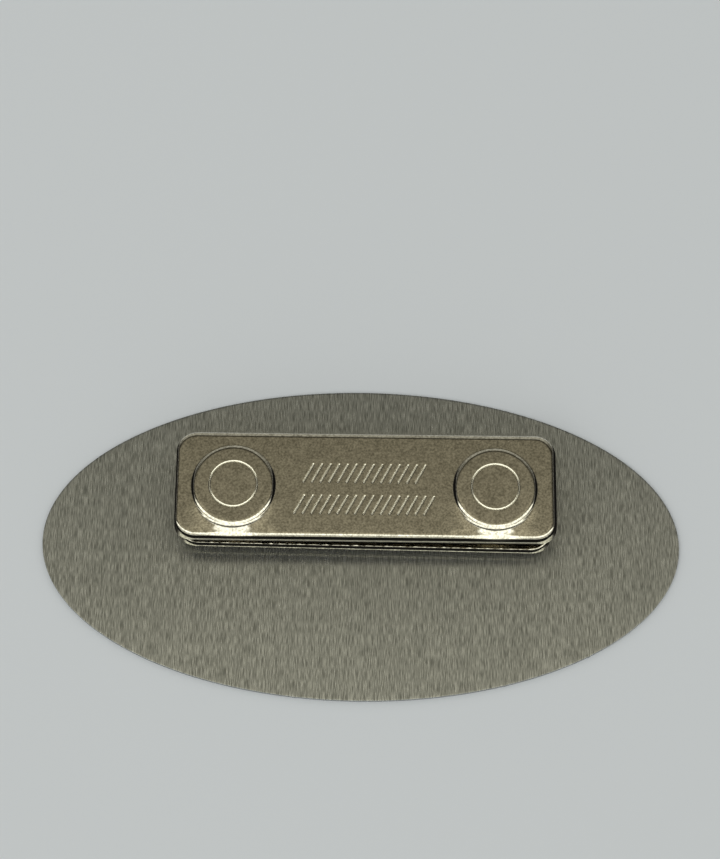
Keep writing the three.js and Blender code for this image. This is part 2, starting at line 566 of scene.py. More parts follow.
class Draft(Sketch):
    """A new material with only a Principled shader, and short ways to dress it."""

    def __init__(self, name: str) -> None:
        """Make the material."""
        self.material = bpy.data.materials.new(name)
        self.material.use_nodes = True
        self.material.node_tree.nodes.clear()
        super().__init__(self.material.node_tree)
        self.shader = self.node("ShaderNodeBsdfPrincipled")
        self.node("ShaderNodeOutputMaterial", {0: self.shader.outputs[0]})
        self.place = self.node("ShaderNodeTexCoord").outputs["Object"]

    def group(self, tree: bpy.types.NodeTree, **inputs: float) -> bpy.types.NodeOutputs:
        """The outputs of a shared group with the material's own values."""
        given = {"Vector": self.place, **inputs}
        return self.node("ShaderNodeGroup", given, node_tree=tree).outputs

    def attribute(self, name: str) -> Socket:
        """A number that the mesh keeps for each of its points."""
        return self.node("ShaderNodeAttribute", attribute_name=name).outputs["Fac"]


@dataclass(frozen=True)
class Finish:
    """Two shades and two roughnesses, chosen from point to point by a texture with a height."""

    name: str
    light: Colour
    dark: Colour
    smooth: float
    rough: float
    contrast: float
    relief: float
    depth: float
    # Dull patches left by handling: how much rougher they are, and their size
    haze: float = 0.0
    patch_size: float = 0.005

    def texture(self, draft: Draft, effects: Effects,
                source: bpy.types.NodeOutputs) -> Socket:
        """Link the roughness and the normal.

        Args:
            draft: The material that is being made.
            effects: The shared groups.
            source: The texture's outputs, a value about 0.5 and a height.

        Returns:
            The shade and the roughness.
        """
        rough = draft.mapped(source["Value"], (0.0, 1.0), (self.rough, self.smooth))
        if self.haze:
            mask = draft.group(effects.handling, Size=self.patch_size)["Mask"]
            rough = draft.math("ADD", rough, draft.math("MULTIPLY", mask, self.haze))
        bump = draft.node("ShaderNodeBump", {
            "Strength": self.relief, "Distance": self.depth, "Height": source["Height"]})
        draft.feed(draft.shader, {"Roughness": rough, "Normal": bump.outputs[0]})
        return draft.mixed(source["Value"], self.dark, self.light), rough


@dataclass(frozen=True)
class BrushedSteel(Finish):
    """Stainless sheet, brushed along Y: sharp along the brush lines and spread across them."""

    name: str = "brushed_steel"
    light: Colour = (0.74, 0.745, 0.69)
    dark: Colour = (0.31, 0.313, 0.28)
    smooth: float = 0.26
    rough: float = 0.33
    contrast: float = 4.9
    relief: float = 0.5
    depth: float = 0.000004
    haze: float = 0.03
    patch_size: float = 0.012
    sheared: Colour = (0.22, 0.225, 0.23)
    metallic: float = 0.86
    anisotropy: float = 0.9
    line_width: float = 0.000085
    line_length: float = 0.0014

    def make(self, effects: Effects) -> Material:
        """Build the material."""
        draft = Draft(self.name)
        brushing = draft.group(effects.brushing, Width=self.line_width, Length=self.line_length,
                               Contrast=self.contrast)
        shade, _ = self.texture(draft, effects, brushing)
        edged = draft.mixed(draft.attribute("sheared"), shade, self.sheared)
        tangent = draft.node("ShaderNodeTangent", direction_type="UV_MAP", uv_map="flat")
        draft.feed(draft.shader, {
            "Base Color": edged, "Metallic": self.metallic, "Anisotropic": self.anisotropy,
            "Tangent": tangent.outputs[0]})
        return draft.material


@dataclass(frozen=True)
class SatinNickel(Finish):
    """Warm satin nickel plating with a fine mottled grain."""

    name: str = "satin_nickel"
    light: Colour = (0.76, 0.70, 0.57)
    dark: Colour = (0.34, 0.31, 0.24)
    smooth: float = 0.07
    rough: float = 0.14
    contrast: float = 3.8
    relief: float = 0.6
    depth: float = 0.0000050
    haze: float = 0.04
    grain_size: float = 0.00025
    # The engraving, which is paler and frosted
    cut: Colour = (0.9, 0.85, 0.70)
    worked: float = 0.5
    # Painted shade on the steep walls: a near-black, dull colour in place of the dark surroundings
    # they mirror
    wall: Colour = (0.010, 0.009, 0.008)
    wall_rough: float = 0.45
    shade_strength: float = 0.94

    def make(self, effects: Effects) -> Material:
        """Build the material."""
        draft = Draft(self.name)
        grain = draft.group(effects.grain, Size=self.grain_size, Contrast=self.contrast)
        shade, hazy = self.texture(draft, effects, grain)
        groove, wall = draft.attribute("engraved"), draft.attribute("wall")
        frosted = draft.math("ADD", hazy, draft.math(
            "MULTIPLY", groove, draft.math("SUBTRACT", self.worked, hazy)))
        dulled = draft.math("MAXIMUM", frosted, draft.math("MULTIPLY", wall, self.wall_rough))
        # Painted shade: where the attribute wall is set, the colour goes near black and the metal
        # dull
        bright = draft.math("SUBTRACT", 1.0, draft.math("MULTIPLY", wall, self.shade_strength))
        cut_and_shade_colour = draft.mixed(wall, draft.mixed(groove, shade, self.cut), self.wall)
        draft.feed(draft.shader, {
            "Base Color": cut_and_shade_colour, "Metallic": bright, "Roughness": dulled,
            "Specular IOR Level": 0.0})
        return draft.material


@dataclass(frozen=True)
class ClosedCellFoam(Finish):
    """Matt dark foam tape with open pores on its cut sides."""

    name: str = "closed_cell_foam"
    light: Colour = (0.045, 0.044, 0.042)
    dark: Colour = (0.008, 0.008, 0.008)
    smooth: float = 0.8
    rough: float = 0.98
    contrast: float = 3.0
    relief: float = 0.8
    depth: float = 0.00005
    pore_size: float = 0.00022

    def make(self, effects: Effects) -> Material:
        """Build the material."""
        draft = Draft(self.name)
        grain = draft.group(effects.grain, Size=self.pore_size, Contrast=self.contrast)
        shade, _ = self.texture(draft, effects, grain)
        draft.feed(draft.shader, {"Base Color": shade})
        return draft.material


@dataclass(frozen=True)
class PaleTable:
    """The plain pale surface that the badge lies on."""

    colour: Colour = (0.773, 0.792, 0.792)
    cloud_shade: float = 0.992
    cloud_scale: float = 9.0
    roughness: float = 0.85
    specular: float = 0.1

    def make(self) -> Material:
        """Build the material."""
        draft = Draft("pale_table")
        cloud = draft.noise(draft.place, self.cloud_scale, detail=3.0)
        low = tuple(channel * self.cloud_shade for channel in self.colour)
        draft.feed(draft.shader, {
            "Base Color": draft.mixed(cloud, low, self.colour), "Roughness": self.roughness,
            "Specular IOR Level": self.specular})
        return draft.material


def smooth_step(value: np.ndarray, low: float, high: float) -> np.ndarray:
    """A smooth rise from 0 at the low value to 1 at the high one."""
    share = np.clip((value - low) / (high - low), 0, 1)
    return share * share * (3 - 2 * share)


def point_values(mesh: Mesh, source: str) -> np.ndarray:
    """Each point's place ("co") or normal ("normal") as rows of three numbers."""
    values = np.empty(len(mesh.vertices) * 3)
    mesh.vertices.foreach_get(source, values)
    return values.reshape(-1, 3)


def store(mesh: Mesh, name: str, values: np.ndarray) -> None:
    """Keep a number for each point of a mesh, for its material to read."""
    layer = mesh.attributes.new(name, "FLOAT", "POINT")
    layer.data.foreach_set("value", values)


def lay_flat_uv(mesh: Mesh) -> None:
    """Give a mesh a UV map whose U and V are X and Y, so that a tangent lies along X."""
    corners = np.empty(len(mesh.loops), dtype=np.int32)
    mesh.loops.foreach_get("vertex_index", corners)
    layer = mesh.uv_layers.new(name="flat")
    layer.data.foreach_set("uv", point_values(mesh, "co")[corners, :2].ravel())


@dataclass(frozen=True)
class PaintedWallShade:
    """Painted shade on steep drawn or sheared walls, by their tilt in degrees.

    It is a dark, dull colour in place of the dark surroundings that the walls mirror. A wall that
    faces along the bar is painted dark from a lesser tilt on than one that faces across it, and the
    far walls get less of the painted shade than the others.
    """

    # Tilts where the painted shade begins on walls across and along the bar, and over which it rises
    across_start: float = 74.0
    along_start: float = 24.0
    rise: float = 12.0
    # No painted shade on undersides, and less of it on the far walls
    underside: tuple[float, float] = (105.0, 125.0)
    far: tuple[float, float] = (0.5, 0.9)
    far_shade_loss: float = 0.5

    def mark(self, mesh: Mesh, lip: float, shade_cut: float,
             crease_shade: np.ndarray | float = 0.0) -> None:
        """Store the painted wall shade as the attribute "wall", from 0 to 1.

        Args:
            mesh: The piece's mesh.
            lip: The height up to which the wall's foot gets less painted shade on the near and far
                sides.
            shade_cut: How much of the painted shade is taken off there, from 0 to 1.
            crease_shade: Painted shade of the piece's own, which is kept where it is stronger.
        """
        # Painted shade: steep walls get a dark, dull colour that stands in for the dark room they
        # mirror
        normal = point_values(mesh, "normal")
        tilt = np.degrees(np.arccos(np.clip(normal[:, 2], -1, 1)))
        plan = np.maximum(np.hypot(normal[:, 0], normal[:, 1]), 1e-6)
        sideways = (normal[:, 0] / plan) ** 4
        start = self.across_start + (self.along_start - self.across_start) * sideways
        wall = smooth_step(tilt, start, start + self.rise)
        wall = wall * (1 - smooth_step(tilt, *self.underside))
        on_lip = point_values(mesh, "co")[:, 2] < lip * MM
        wall = wall * (1 - shade_cut * on_lip * (1 - sideways))
        wall = wall * (1 - self.far_shade_loss * smooth_step(normal[:, 1] / plan, *self.far))
        store(mesh, "wall", np.maximum(wall, crease_shade))


def register(piece: bpy.types.Object, body: Body, node: str,
             material: Material) -> None:
    """Give a piece its material, its body and the node that it stands for.

    Args:
        piece: The finished piece.
        body: The body that it rides on.
        node: The node of the frame that it replaces.
        material: The material that it shows.
    """
    piece.data.materials.append(material)
    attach(piece, body.value)
    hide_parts(node)


@dataclass
class Piece:
    """A piece that stands for one node of the frame."""

    node: str
    name: str
    body: Body
    slot: Slot
    box: NodeBox = field(init=False)

    def __post_init__(self) -> None:
        """Measure the node."""
        self.box = NodeBox.of(self.node)

    def skin(self) -> Skin:
        """Gather the piece's surface, which each kind of piece does in its own way."""
        raise NotImplementedError

    def mark(self, mesh: Mesh) -> None:
        """Store what the finish reads at each point. A plain piece has nothing to store."""

    def build(self, material: Material) -> None:
        """Build the piece in its finish, and register it."""
        piece = self.skin().make_object(self.name)
        self.mark(piece.data)
        register(piece, self.body, self.node, material)


@dataclass
class BadgePlate(Piece):
    """The oval of thin brushed sheet, with a sheared edge."""

    node: str = "badge_plate"
    name: str = "plate"
    body: Body = Body.BADGE
    slot: Slot = Slot.PLATE
    rollover: float = 0.03
    edge_steps: int = 4
    columns: int = 960
    # A point is part of the sheared edge where its normal's upward part is less than this
    steep: float = 0.8
    edge_wave: Wave = Wave(0.006, (2.3, 0.9, 0.41), 0.4)
    edge_reach: float = 0.5
    flat_margin: float = 0.2
    # The rings of a flat face, as shares of the way out from its middle
    face_shares: tuple[float, ...] = (0.03, 0.2, 0.4, 0.6, 0.8, 0.93, 0.985, 1.0)
    # Small burrs left by the shear: angle in degrees, length and height in millimetres
    burrs: tuple[tuple[float, float, float], ...] = (
        (-44.8, 0.30, 0.055), (-63.5, 0.24, 0.045), (-101.4, 0.20, 0.040))

    def rings(self, insets: np.ndarray, heights: np.ndarray) -> np.ndarray:
        """Parallel rings of the oval.

        A ring's point is the ellipse's point less the inset times the ellipse's outward normal.

        Args:
            insets: The distance in from the edge, for each ring.
            heights: The height of each ring.

        Returns:
            A grid with a row for each ring.
        """
        half_x, half_y = self.box.size[:2] / 2
        angle = np.linspace(0.0, 2 * math.pi, self.columns, endpoint=False)
        ellipse = np.stack([half_x * np.cos(angle), half_y * np.sin(angle)], axis=-1)
        normal = np.stack([half_y * np.cos(angle), half_x * np.sin(angle)], axis=-1)
        normal /= np.linalg.norm(normal, axis=1)[:, None]
        mean_radius = math.sqrt(half_x * half_y)
        run = angle * mean_radius
        out = self.edge_wave.at(run) - self.edge_wave.size
        for place, length, size in self.burrs:
            away = (run - math.radians(place % 360.0) * mean_radius) / length
            out = out + size * np.exp(-(away * 2) ** 2)
        near_edge = np.clip(1 - insets / self.edge_reach, 0, 1)
        plan = ellipse - (insets[:, None] - near_edge[:, None] * out)[..., None] * normal
        return lifted(self.box.centre[:2] + plan, heights[:, None])

    def skin(self) -> Skin:
        """Gather the rounded edge, and each flat face as smaller and smaller copies of its ring."""
        bottom, top = self.box.low[2], self.box.high[2]
        upper = round_edge(self.rollover, 0, 90, self.edge_steps)
        lower = round_edge(self.rollover / 2, 0, 90, self.edge_steps)[::-1]
        margin = np.array([self.flat_margin, 0.0])
        insets = np.concatenate([
            self.rollover + margin, self.rollover - upper[1:, 0],
            self.rollover / 2 - lower[:-1, 0], self.rollover / 2 + margin[::-1]])
        heights = np.concatenate([
            [top, top], top - upper[1:, 1], bottom + lower[:-1, 1], [bottom, bottom]])
        rings = self.rings(insets, heights)
        skin = Skin()
        skin.add_grid(rings, Facing.OUTWARD, closed=True)
        for ring, facing in ((rings[0], Facing.OUTWARD), (rings[-1], Facing.INWARD)):
            middle = np.array([*self.box.centre[:2], ring[0, 2]])
            face = middle + np.array(self.face_shares)[:, None, None] * (ring - middle)
            skin.add_grid(face, facing, closed=True)
            skin.add_pole(middle, face[0], facing)
        return skin

    def mark(self, mesh: Mesh) -> None:
        """Lay the UV map that the brush lines follow, and mark the sheared edge."""
        lay_flat_uv(mesh)
        steep = np.abs(point_values(mesh, "normal")[:, 2]) < self.steep
        store(mesh, "sheared", steep.astype(float))


@dataclass
class FlatBar(Piece):
    """A flat bar with round corners, turned a little about its middle."""

    length: float
    width: float
    corner_radius: float
    turn: float = -0.63
    corner_steps: int = 14
    column_step: float = 0.12
    row_count: int = 12

    def columns(self) -> np.ndarray:
        """Places along the bar for the core of the outline, from end to end."""
        straight_half = self.length / 2 - self.corner_radius
        return np.linspace(-straight_half, straight_half, int(2 * straight_half / self.column_step))

    def outline(self) -> Outline:
        """The bar's outline, anticlockwise from the near left corner."""
        x, y = self.length / 2 - self.corner_radius, self.width / 2 - self.corner_radius
        along = (self.columns() + x) / (2 * x)
        across = np.linspace(0.0, 1.0, self.row_count + 1)
        points = [(-x, -y), (x, -y), (x, y), (-x, y), (-x, -y)]
        return rounded_run(points, [along, across] * 2, self.corner_steps, closed=True)

    def placed(self, grid: np.ndarray) -> np.ndarray:
        """Turn a grid about the bar's middle and move it to the node's place."""
        cos, sin = math.cos(math.radians(self.turn)), math.sin(math.radians(self.turn))
        x = cos * grid[..., 0] - sin * grid[..., 1] + self.box.centre[0]
        y = sin * grid[..., 0] + cos * grid[..., 1] + self.box.centre[1]
        return np.stack([x, y, grid[..., 2]], axis=-1)

    def closed(self, rows: list[np.ndarray], low: float, high: float) -> Skin:
        """Close rows of the outline with the flat core, above and below.

        Args:
            rows: Rows round the bar, from the core's top over the sides to the core's bottom.
            low: The bottom's height.
            high: The top's height.

        Returns:
            The whole surface.
        """
        half = self.width / 2 - self.corner_radius
        core = np.meshgrid(self.columns(), np.linspace(-half, half, self.row_count + 1))
        sheet = np.stack(core, axis=-1)
        skin = Skin()
        skin.add_grid(self.placed(np.stack(rows)), Facing.OUTWARD, closed=True)
        skin.add_grid(self.placed(lifted(sheet, high)), Facing.INWARD)
        skin.add_grid(self.placed(lifted(sheet, low)), Facing.OUTWARD)
        return skin


@dataclass
class InnerBar(FlatBar):
    """The blanked strip that is glued to the badge, with a ragged upper edge."""

    node: str = "inner_bar"
    name: str = "inner_strip"
    body: Body = Body.BADGE
    slot: Slot = Slot.NICKEL
    length: float = 44.5
    width: float = 12.86
    corner_radius: float = 2.6
    # The upper edge: its radius, its raggedness as times that radius, and where the shear tore it
    upper_edge: float = 0.048
    ragged: Wave = Wave(1.3, (3.4, 1.3, 0.57), 0.9)
    ragged_mean: float = 0.7
    ragged_range: tuple[float, float] = (0.1, 2.0)
    nicks: Marks = Marks(2.2, 3.42, 0.21, Wave(0.12, (17.0, 7.0), 1.1))
    corner_edge: float = 0.14
    # The lip at the wall's foot
    lower_edge: float = 0.07
    lower_lip: float = 0.04
    lip_wave: Wave = Wave(0.4, (4.1, 1.7, 0.6), 2.7)
    lip_slope: float = 1.2
    corner_lip: float = 0.18
    wall_wave: Wave = Wave(0.012, (2.9, 1.1, 0.5), 2.2)
    flat_margin: float = 0.36
    # The rings of the flat top and bottom, as shares of the way out from the core
    top_shares: tuple[float, ...] = (0.0, 0.5, 0.9, 0.98)
    bottom_shares: tuple[float, ...] = (0.9, 0.0)
    edge_steps: int = 5
    # How high up the wall's foot the painted wall shade is lessened, and by how much
    lip_unshaded_height: float = 0.09
    lip_shade_cut: float = 0.4

    def skin(self) -> Skin:
        """Gather the top, the ragged edge, the wall with its lip, and the bottom."""
        outline = self.outline()
        reach, run, cornering = self.corner_radius, outline.travel, outline.cornering
        low, high = self.box.low[2], self.box.high[2]
        rows = [outline.row(share * (reach - self.flat_margin), high) for share in self.top_shares]
        ragged = np.clip(self.ragged_mean + self.ragged.at(run), *self.ragged_range)
        radius = self.upper_edge * (ragged + self.nicks.at(run)) + self.corner_edge * cornering
        for out, down in round_edge(1.0, 0, 90, self.edge_steps):
            rows.append(outline.row(reach - radius + radius * out, high - radius * down))
        lip = self.lower_lip * (1 + self.lip_wave.at(run)) + self.corner_lip * cornering
        lip_top = low + self.lower_edge + self.lip_slope * lip
        for share in WALL_SHARES:
            level = high + share * (lip_top - high)
            rows.append(outline.row(reach + self.wall_wave.at(run), level))
        for out, down in round_edge(self.lower_edge, 0, 90, self.edge_steps)[::-1]:
            rows.append(outline.row(reach + lip - self.lower_edge + out, low + down))
        for share in self.bottom_shares:
            rows.append(outline.row(share * (reach - self.lower_edge), low))
        return self.closed(rows, low, high)

    def mark(self, mesh: Mesh) -> None:
        """Mark the painted shade on the walls."""
        PaintedWallShade().mark(mesh, self.box.low[2] + self.lip_unshaded_height, self.lip_shade_cut)


@dataclass
class FoamPad(FlatBar):
    """The foam pad under the inner bar, its cut sides a little hollow."""

    node: str = "adhesive_pad"
    name: str = "foam_tape"
    body: Body = Body.BADGE
    slot: Slot = Slot.FOAM
    length: float = 42.9
    width: float = 11.1
    corner_radius: float = 1.8
    hollow: float = 0.12
    cut_wave: Wave = Wave(0.03, (1.9, 0.8, 0.37), 3.0)
    side_rows: int = 9
    glue_gap: float = 0.09

    def skin(self) -> Skin:
        """Gather the pad, from the plate up to the inner bar."""
        outline = self.outline()
        run = outline.travel
        low, high = self.box.low[2] - self.glue_gap, self.box.high[2] + self.glue_gap
        rows = [outline.row(0.0, high)]
        for share in np.linspace(0.0, 1.0, self.side_rows):
            pulled = self.hollow * math.sin(math.pi * share)
            reach = self.corner_radius - pulled + self.cut_wave.at(run, share)
            rows.append(outline.row(reach, high + share * (low - high)))
        rows.append(outline.row(0.0, low))
        return self.closed(rows, low, high)


@dataclass
class Magnet(Piece):
    """A disc magnet with rounded edges."""

    body: Body = Body.MAGNET_BAR
    slot: Slot = Slot.MAGNET
    edge: float = 0.2
    edge_steps: int = 6
    segments: int = 128
    # The rings of the flat faces, as shares of the radius, and the last one's share of the edge
    flat_shares: tuple[float, float] = (0.5, 0.9)
    edge_share: float = 1.05

    def skin(self) -> Skin:
        """Gather the disc: half a section from the middle of a face, used from both faces."""
        radius, low, high = self.box.size[0] / 2, self.box.low[2], self.box.high[2]
        rings = [*(radius * np.array(self.flat_shares)), radius - self.edge * self.edge_share]
        flat = np.stack([rings, np.zeros(len(rings))], axis=-1)
        edge = round_edge(self.edge, 0, 90, self.edge_steps) + [radius - self.edge, 0]
        half = np.vstack([flat, edge])
        section = np.vstack([half * [1, -1] + [0, high], half[::-1] + [0, low]])
        grid = turned_profile(self.box.centre, section, self.segments)
        skin = Skin()
        skin.add_grid(grid, Facing.OUTWARD, closed=True)
        skin.add_pole(np.array([*self.box.centre[:2], high]), grid[0], Facing.OUTWARD)
        skin.add_pole(np.array([*self.box.centre[:2], low]), grid[-1], Facing.INWARD)
        return skin


@dataclass
class MagnetCover(Piece):
    """The pressed cover: a shallow tray with two round cups, engraved on top and hollow below."""

    node: str = "magnet_cover"
    name: str = "magnet_bar_cover"
    body: Body = Body.MAGNET_BAR
    slot: Slot = Slot.NICKEL
    corner_radius: float = 2.5
    # The edge's arcs, for a radius of 1, and its radius on each side
    edge_arcs: Arcs = ((1.3, 11.0, 3), (1.0, 90.0, 10))
    near_edge: float = 0.41
    far_edge: float = 0.75
    left_edge: float = 0.50
    right_edge: float = 0.75
    # How far the sides stand out past the frame's box
    left_reach: float = 0.05
    right_reach: float = 0.20
    near_reach: float = 0.06
    # The rim: how far it stands out, how low it comes, its tool marks and its wall's lessened
    # painted shade
    rim_lip: float = 0.10
    corner_lip: float = 0.26
    lip_rise: float = 0.28
    rim_drop: float = 0.16
    rim_round: float = 0.04
    rim_marks: Marks = Marks(0.035, 4.7, 0.35, Wave(0.1, (23.0, 9.0), 0.3))
    rim_wave: Wave = Wave(0.008, (2.1, 0.8), 1.9)
    lip_unshaded_margin: float = 0.05
    lip_shade_cut: float = 0.14
    sheet: float = 0.45
    cup_diameter: float = 9.86
    cup_rise: float = 0.62
    # The arcs of a cup's side: the near side is flatter and stands further out
    side_arcs: Arcs = ((1.44, 8.0, 2), (0.3, 30.0, 3), (0.9, 52.0, 4), (0.2, 80.0, 3))
    near_arcs: Arcs = ((0.72, 8.0, 2), (0.3, 28.0, 3), (1.9, 46.0, 6))
    near_bulge: float = 0.28
    side_skirt: float = 0.02
    near_skirt: float = 0.36
    # Painted shade, a dark line at a cup's foot: its width, and how far round the near side it fades
    # in
    crease_shade_width: float = 0.065
    crease_shade_fade: tuple[float, float] = (0.6, 0.95)
    # The near edge's dip beside a cup
    droop: float = 0.36
    droop_reach: float = 1.0
    droop_half_length: float = 5.9
    # The engraving
    groove_half_width: float = 0.14
    groove_depth: float = 0.08
    groove_gain: float = 2.0
    ring_diameter: float = 5.6
    row_to_cup: float = 1.65
    short_row_inset: float = 1.35
    row_pitch: float = 3.9
    rows_shift: float = -0.28
    line_height: float = 2.4
    line_pitch: float = 1.02
    line_lean: float = 28.0
    engraving_width: float = 0.22
    # The inside: the cups' hollows, with a wall between two heights off the roof and the ceiling
    inside_round: float = 0.12
    hollow_diameter: float = 9.2
    hollow_wall: tuple[float, float] = (0.25, 0.12)
    hollow_middle: float = 1.5
    mouth_margin: float = 0.1
    inside_rows: int = 15
    # The grid: its steps, and the circles and lofted rings of an end panel
    split_reach: float = 5.8
    row_margin: float = 0.3
    fine_step: float = 0.055
    coarse_step: float = 0.5
    border_step: float = 0.04
    corner_steps: int = 16
    round_steps: int = 4
    long_count: int = 25
    short_count: int = 17
    cup_middle: float = 1.2
    ring_margin: float = 0.05
    ring_count: int = 15
    ring_step: float = 0.028
    before_side: tuple[float, ...] = (0.4, 0.04)
    past_foot: tuple[float, ...] = (0.012, 0.04, 0.08, 0.13, 0.19, 0.26)
    loft_shares: tuple[float, ...] = (0.06, 0.14, 0.25, 0.4, 0.58, 0.76, 0.9, 0.98, 1.0)
    least_radius: float = 0.1

    def __post_init__(self) -> None:
        """Work out the heights, the cups' centres and the grip lines from the frame."""
        super().__post_init__()
        self.rim = float(self.box.low[2]) - self.rim_drop
        self.top = float(self.box.high[2]) - self.cup_rise
        past_low = np.array([self.left_reach, self.near_reach])
        past_high = np.array([self.right_reach, 0.0])
        self.middle = self.box.centre[:2] + (past_high - past_low) / 2
        self.half = self.box.size[:2] / 2 + (past_high + past_low) / 2
        magnets = [NodeBox.of("magnet_left"), NodeBox.of("magnet_right")]
        self.cups = [magnet.centre[:2] - self.middle for magnet in magnets]
        self.splits = [self.cups[0][0] + self.split_reach, self.cups[1][0] - self.split_reach]
        self.row_levels = [
            self.cups[0][1] + self.rows_shift + side * self.row_pitch / 2 for side in (1, -1)]
        outer = self.cup_diameter / 2
        self.side_section = self.cup_section(self.side_arcs, outer)
        self.near_section = self.cup_section(self.near_arcs, outer + self.near_bulge)
        self.edge = arcs(self.edge_arcs)
        self.lines = self.grip_lines()

    def grip_lines(self) -> np.ndarray:
        """The middles of the grip lines: the far row is shorter than the near one."""
        spacing = self.cups[1][0] - self.cups[0][0]
        centre = (self.cups[0][0] + self.cups[1][0]) / 2
        long_row = spacing - self.cup_diameter - 2 * self.row_to_cup
        slant = self.line_height * math.tan(math.radians(self.line_lean)) + self.engraving_width
        places = []
        for level, length in zip(self.row_levels, (long_row - 2 * self.short_row_inset, long_row)):
            count = int((length - slant) / self.line_pitch) + 1
            steps = (np.arange(count) - (count - 1) / 2) * self.line_pitch
            places.append(np.stack([centre + steps, np.full(count, level)], axis=-1))
        return np.vstack(places)

    def cup_section(self, parts: Arcs, outer: float) -> np.ndarray:
        """A cup's side in section from the flat top out, as rows of radius and height."""
        side = arcs(parts)
        return np.stack([outer - side[-1, 0] + side[:, 0], self.cup_rise - side[:, 1]], axis=-1)

    def cup_height(self, x: np.ndarray, y: np.ndarray) -> np.ndarray:
        """The height of a cup and of the metal drawn up round it, at places from its centre.

        Inside its edge the height is the section's, and outside a skirt dies out as an exponential
        of the distance. The near side has a section and a wider skirt of its own.
        """
        radius = np.hypot(x, y)
        nearness = np.clip(-y / np.maximum(radius, self.least_radius), 0, 1) ** 2
        heights = []
        for section, reach in ((self.side_section, self.side_skirt),
                               (self.near_section, self.near_skirt)):
            outer, foot_top = section[-1]
            skirt = foot_top * np.exp(-np.maximum(radius - outer, 0) / reach)
            inside = np.interp(radius, section[:, 0], section[:, 1])
            heights.append(np.where(radius <= outer, inside, skirt))
        return heights[0] + nearness * (heights[1] - heights[0])

    def edge_droop(self, x: np.ndarray, y: np.ndarray) -> np.ndarray:
        """How far the near edge is pulled down beside a cup: an even slope, over its width."""
        start = -self.half[1] + self.droop_reach
        share = np.clip((start - y) / self.droop_reach, 0, 1)
        across = np.clip(1 - (x / self.droop_half_length) ** 2, 0, 1)
        return self.droop * share * across**2

    def groove(self, distance: np.ndarray) -> np.ndarray:
        """The depth of a pressed line at a distance from its middle: a smooth bell."""
        share = np.clip(distance / self.groove_half_width, 0, 1)
        return self.groove_depth * (1 - share**2) ** 2

    def engraving(self, x: np.ndarray, y: np.ndarray) -> np.ndarray:
        """The depth of the engraved rings and grip lines at places from the cover's middle."""
        depth = np.zeros_like(x)
        for cup in self.cups:
            radius = np.hypot(x - cup[0], y - cup[1])
            depth = np.maximum(depth, self.groove(np.abs(radius - self.ring_diameter / 2)))
        lean = math.radians(self.line_lean)
        reach = (self.line_height - self.engraving_width) / 2 / math.cos(lean)
        for line_x, line_y in self.lines:
            along = (x - line_x) * math.sin(lean) + (y - line_y) * math.cos(lean)
            across = (x - line_x) * math.cos(lean) - (y - line_y) * math.sin(lean)
            away = np.hypot(np.maximum(np.abs(along) - reach, 0), across)
            depth = np.maximum(depth, self.groove(away))
        return depth

    def relief(self, x: np.ndarray, y: np.ndarray) -> np.ndarray:
        """The height of the cover's outside over its flat, at places from its middle."""
        height = -self.engraving(x, y)
        for cup in self.cups:
            height = height + self.cup_height(x - cup[0], y - cup[1])
            height = height - self.edge_droop(x - cup[0], y)
        return height

    def crease_shade(self, x: np.ndarray, y: np.ndarray) -> np.ndarray:
        """Painted shade along the foot of each cup's near side, from 0 to 1."""
        marks = []
        for cup in self.cups:
            radius = np.hypot(x - cup[0], y - cup[1])
            nearness = (cup[1] - y) / np.maximum(radius, self.least_radius)
            line = np.exp(-(((radius - self.near_section[-1, 0]) / self.crease_shade_width) ** 2))
            marks.append(line * smooth_step(nearness, *self.crease_shade_fade))
        return np.maximum(*marks)

    def mark(self, mesh: Mesh) -> None:
        """Mark the engraving, and the painted shade on the walls and along the cups' feet."""
        places = point_values(mesh, "co") / MM
        x, y = places[:, 0] - self.middle[0], places[:, 1] - self.middle[1]
        outside = places[:, 2] > self.top - self.sheet / 2
        depth = self.groove_gain * self.engraving(x, y) / self.groove_depth
        store(mesh, "engraved", np.clip(depth, 0, 1) * outside)
        unshaded_lip_top = self.rim + self.lip_rise + self.lip_unshaded_margin
        PaintedWallShade().mark(mesh, unshaded_lip_top, self.lip_shade_cut, self.crease_shade(x, y) * outside)

    def row_spans(self) -> list[tuple[float, float]]:
        """The stretches across the cover that the rows of grip lines take, near row first."""
        reach = self.line_height / 2 + self.groove_half_width
        return [(level - reach, level + reach) for level in sorted(self.row_levels)]

    def middle_columns(self) -> np.ndarray:
        """Places along the middle panel, close together where the grip lines are."""
        slant = self.line_height / 2 * math.tan(math.radians(self.line_lean)) + self.row_margin
        span = float(self.lines[:, 0].min() - slant), float(self.lines[:, 0].max() + slant)
        return gathered(self.splits[0], self.splits[1], [span], self.fine_step, self.coarse_step)

    def end_outline(self, side: int) -> Outline:
        """The outline round one end of the cover, anticlockwise.

        Args:
            side: -1 for the left end and 1 for the right.

        Returns:
            The run from one split to the other.
        """
        x, y = side * (self.half - self.corner_radius)
        split = self.splits[0] if side < 0 else self.splits[1]
        along = np.linspace(0.0, 1.0, self.long_count)
        across = np.linspace(0.0, 1.0, self.short_count)
        points = [(split, -y), (x, -y), (x, y), (split, y)]
        return rounded_run(points, [along, across, along], self.corner_steps)

    def whole_outline(self) -> Outline:
        """The whole outline, anticlockwise from the near left split."""
        columns = self.middle_columns()[1:-1]
        y = self.half[1] - self.corner_radius
        near = np.stack([columns, np.full(len(columns), -y)], axis=-1)
        far = near[::-1] * [1, -1]
        down = np.tile([0.0, -1.0], (len(columns), 1))
        return joined([
            Outline(near, down), self.end_outline(1), Outline(far, -down), self.end_outline(-1)])

    def edge_radii(self, outline: Outline) -> np.ndarray:
        """The edge's radius at each point of an outline, blended round the corners."""
        x, y = outline.normal.T
        along = np.where(x > 0, self.right_edge, self.left_edge)
        across = np.where(y > 0, self.far_edge, self.near_edge)
        return along * x**2 + across * y**2

